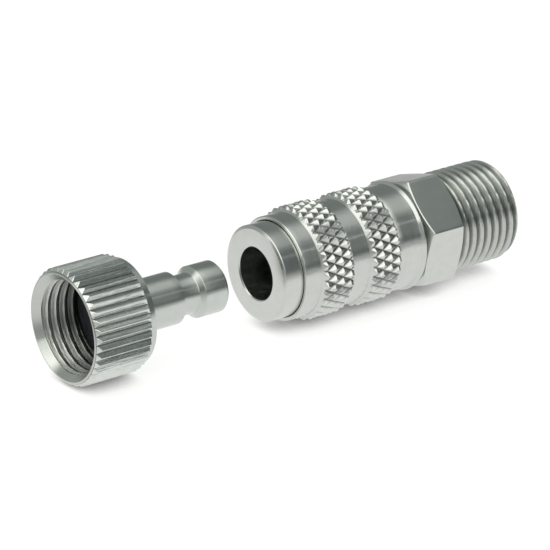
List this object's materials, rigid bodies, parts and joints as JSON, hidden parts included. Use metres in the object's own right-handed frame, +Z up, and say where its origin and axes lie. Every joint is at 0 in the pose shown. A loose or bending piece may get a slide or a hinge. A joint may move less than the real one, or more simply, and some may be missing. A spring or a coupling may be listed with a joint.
{
  "type": "quick disconnect coupler",
  "caption": "Miniature quick disconnect coupler: a knurled sliding-sleeve socket with a hexagon and male thread, and its coaxial plug with a fluted female-threaded nut.",
  "frame": {"origin": "centre of the shoulder where the male thread leaves the hexagon, on the coupler's axis", "axes": "+X along the flow axis, out of the male thread end; the plug lies towards -X; +Z up; one corner of the hexagon is 13.5 degrees from +Z towards -Y"},
  "size_m": [0.0493, 0.011, 0.0112],
  "materials": {
    "nickel_body": "bright nickel plate on turned brass",
    "nickel_sleeve": "bright nickel plate on knurled brass",
    "nickel_plug": "nickel plate on knurled brass",
    "black_acetal": "black turned acetal",
    "ball_steel": "polished hardened steel",
    "spring_steel": "drawn spring wire",
    "black_rubber": "satin black nitrile rubber"
  },
  "bodies": {
    "socket": {"socket_body": "nickel_body", "end_adapter": "nickel_body", "body_seal": "black_rubber", "plug_seal": "black_rubber"},
    "sleeve_slider": {"sleeve_spring": "spring_steel"},
    "sleeve": {"release_sleeve": "nickel_sleeve"},
    "valve": {"valve_piston": "black_acetal", "valve_seal": "black_rubber", "valve_spring": "spring_steel"},
    "ball_1": {"locking_ball_1": "ball_steel"},
    "ball_2": {"locking_ball_2": "ball_steel"},
    "ball_3": {"locking_ball_3": "ball_steel"},
    "ball_4": {"locking_ball_4": "ball_steel"},
    "ball_5": {"locking_ball_5": "ball_steel"},
    "ball_6": {"locking_ball_6": "ball_steel"},
    "plug": {"plug_body": "nickel_plug", "plug_gasket": "black_rubber"}
  },
  "joints": [
    {"name": "sleeve_slide", "type": "slide", "parent": "socket", "child": "sleeve_slider", "axis": [-1, 0, 0], "range_m": [0, 0.0021], "deforming": ["sleeve_spring"]},
    {"name": "sleeve_spin", "type": "hinge", "parent": "sleeve_slider", "child": "sleeve", "pos_m": [-0.0117, 0, 0], "axis": [1, 0, 0], "continuous": true},
    {"name": "valve_slide", "type": "slide", "parent": "socket", "child": "valve", "axis": [1, 0, 0], "range_m": [0, 0.00346], "deforming": ["valve_spring"]},
    {"name": "ball_1_slide", "type": "slide", "parent": "socket", "child": "ball_1", "axis": [0, 0, -1], "range_m": [0, 0.0006]},
    {"name": "ball_2_slide", "type": "slide", "parent": "socket", "child": "ball_2", "axis": [0, 0.866, -0.5], "range_m": [0, 0.0006]},
    {"name": "ball_3_slide", "type": "slide", "parent": "socket", "child": "ball_3", "axis": [0, 0.866, 0.5], "range_m": [0, 0.0006]},
    {"name": "ball_4_slide", "type": "slide", "parent": "socket", "child": "ball_4", "axis": [0, 0, 1], "range_m": [0, 0.0006]},
    {"name": "ball_5_slide", "type": "slide", "parent": "socket", "child": "ball_5", "axis": [0, -0.866, 0.5], "range_m": [0, 0.0006]},
    {"name": "ball_6_slide", "type": "slide", "parent": "socket", "child": "ball_6", "axis": [0, -0.866, -0.5], "range_m": [0, 0.0006]},
    {"name": "plug_slide", "type": "slide", "parent": "valve", "child": "plug", "axis": [1, 0, 0], "range_m": [0, 0.00891]}
  ],
  "couplings": [
    {"joint": "valve_slide", "follows": "sleeve_slide", "ratio": 1.6476},
    {"joint": "ball_1_slide", "follows": "sleeve_slide", "ratio": 0.28571},
    {"joint": "ball_2_slide", "follows": "sleeve_slide", "ratio": 0.28571},
    {"joint": "ball_3_slide", "follows": "sleeve_slide", "ratio": 0.28571},
    {"joint": "ball_4_slide", "follows": "sleeve_slide", "ratio": 0.28571},
    {"joint": "ball_5_slide", "follows": "sleeve_slide", "ratio": 0.28571},
    {"joint": "ball_6_slide", "follows": "sleeve_slide", "ratio": 0.28571}
  ]
}
